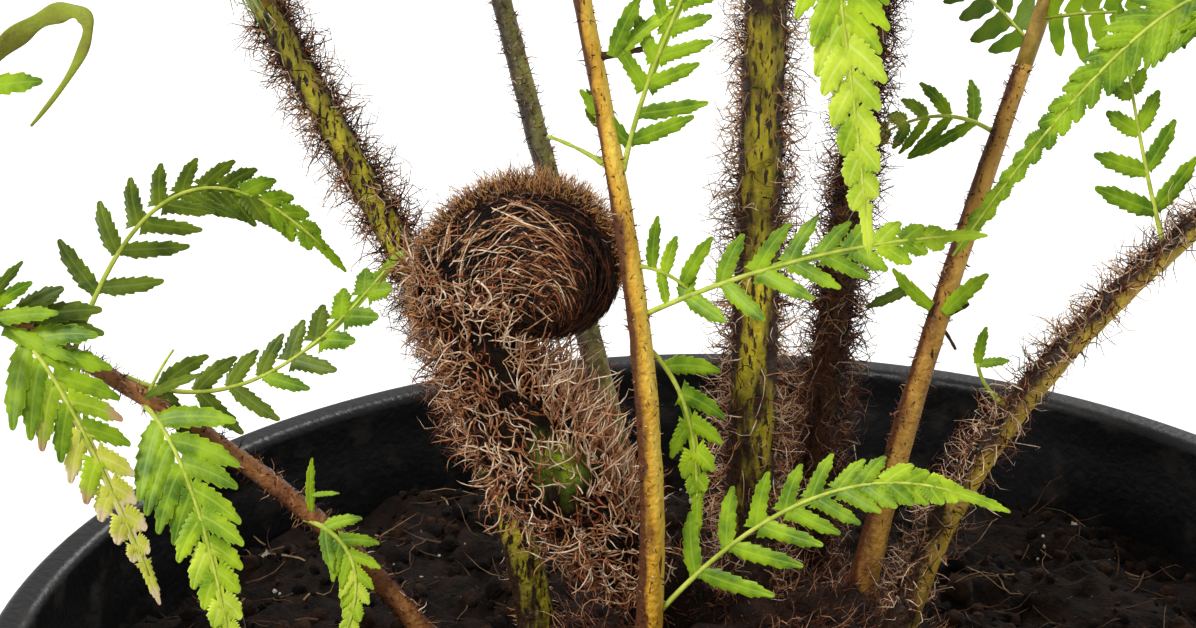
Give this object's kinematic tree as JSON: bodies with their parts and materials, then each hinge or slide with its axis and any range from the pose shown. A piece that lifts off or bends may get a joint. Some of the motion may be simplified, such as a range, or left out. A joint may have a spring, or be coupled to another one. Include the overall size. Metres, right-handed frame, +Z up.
{
  "type": "potted tree fern",
  "caption": "Young tree fern in a round nursery pot: short hairy trunk, tall stalks with arching feathery fronds, and a tightly curled hairy bud.",
  "frame": {"origin": "centre of the pot's flat underside", "axes": "+Z up through the pot and the trunk, +X to the right and -Y towards the viewer in the picture's view"},
  "size_m": [0.8588, 0.8828, 0.6413],
  "materials": {
    "pot_plastic": "black moulded plastic, satin, a little dusty at the rim",
    "compost": "dark peaty compost with fibres and a few pale grains, matt",
    "trunk_fibre": "short trunk wrapped in brown fibre and old stalk bases, matt",
    "bud_hair": "rolled bud under a dense coat of tan and dark brown hair",
    "stalk": "yellow-green to golden stalks with brown scales and dark specks, slightly glossy",
    "leaf": "fresh green toothed leaflets with pale ribs, satin"
  },
  "bodies": {
    "root": {"pot": "pot_plastic", "soil": "compost", "trunk": "trunk_fibre", "bud_coil": "bud_hair", "bud_stem": "bud_hair", "left_tall_stalk": "stalk", "slim_front_stalk": "stalk", "thick_centre_stalk": "stalk", "behind_centre_stalk": "stalk", "right_back_stalk": "stalk", "right_leaning_stalk": "stalk", "left_low_stalk": "stalk", "rear_left_stalk": "stalk", "front_left_low_stalk": "stalk", "front_low_stalk": "stalk", "front_right_low_stalk": "stalk", "right_low_stalk": "stalk", "rear_stalk": "stalk", "rear_left_low_stalk": "stalk", "spray_low_right": "leaf", "spray_mid_right": "leaf", "spray_hanging": "leaf", "spray_upper_right": "leaf", "spray_front": "leaf", "spray_behind": "leaf", "spray_rising": "leaf", "spray_right": "leaf", "spray_left_inner": "leaf", "spray_left_outer": "leaf", "spray_left_back": "leaf", "spray_left_far": "leaf", "spray_left_small": "leaf", "left_tall_blade_low": "leaf", "left_tall_blade_tip": "leaf", "slim_front_blade_low": "leaf", "slim_front_blade_tip": "leaf", "thick_centre_blade_low": "leaf", "thick_centre_blade_tip": "leaf", "behind_centre_blade_low": "leaf", "behind_centre_blade_tip": "leaf", "right_back_blade_low": "leaf", "right_back_blade_tip": "leaf", "right_leaning_blade_low": "leaf", "right_leaning_blade_tip": "leaf", "left_low_blade_low": "leaf", "left_low_blade_tip": "leaf", "rear_left_blade_low": "leaf", "rear_left_blade_tip": "leaf", "front_left_low_blade_low": "leaf", "front_left_low_blade_tip": "leaf", "front_low_blade_low": "leaf", "front_low_blade_tip": "leaf", "front_right_low_blade_low": "leaf", "front_right_low_blade_tip": "leaf", "right_low_blade_low": "leaf", "right_low_blade_tip": "leaf", "rear_blade_low": "leaf", "rear_blade_tip": "leaf", "rear_left_low_blade_low": "leaf", "rear_left_low_blade_tip": "leaf"}
  },
  "joints": []
}
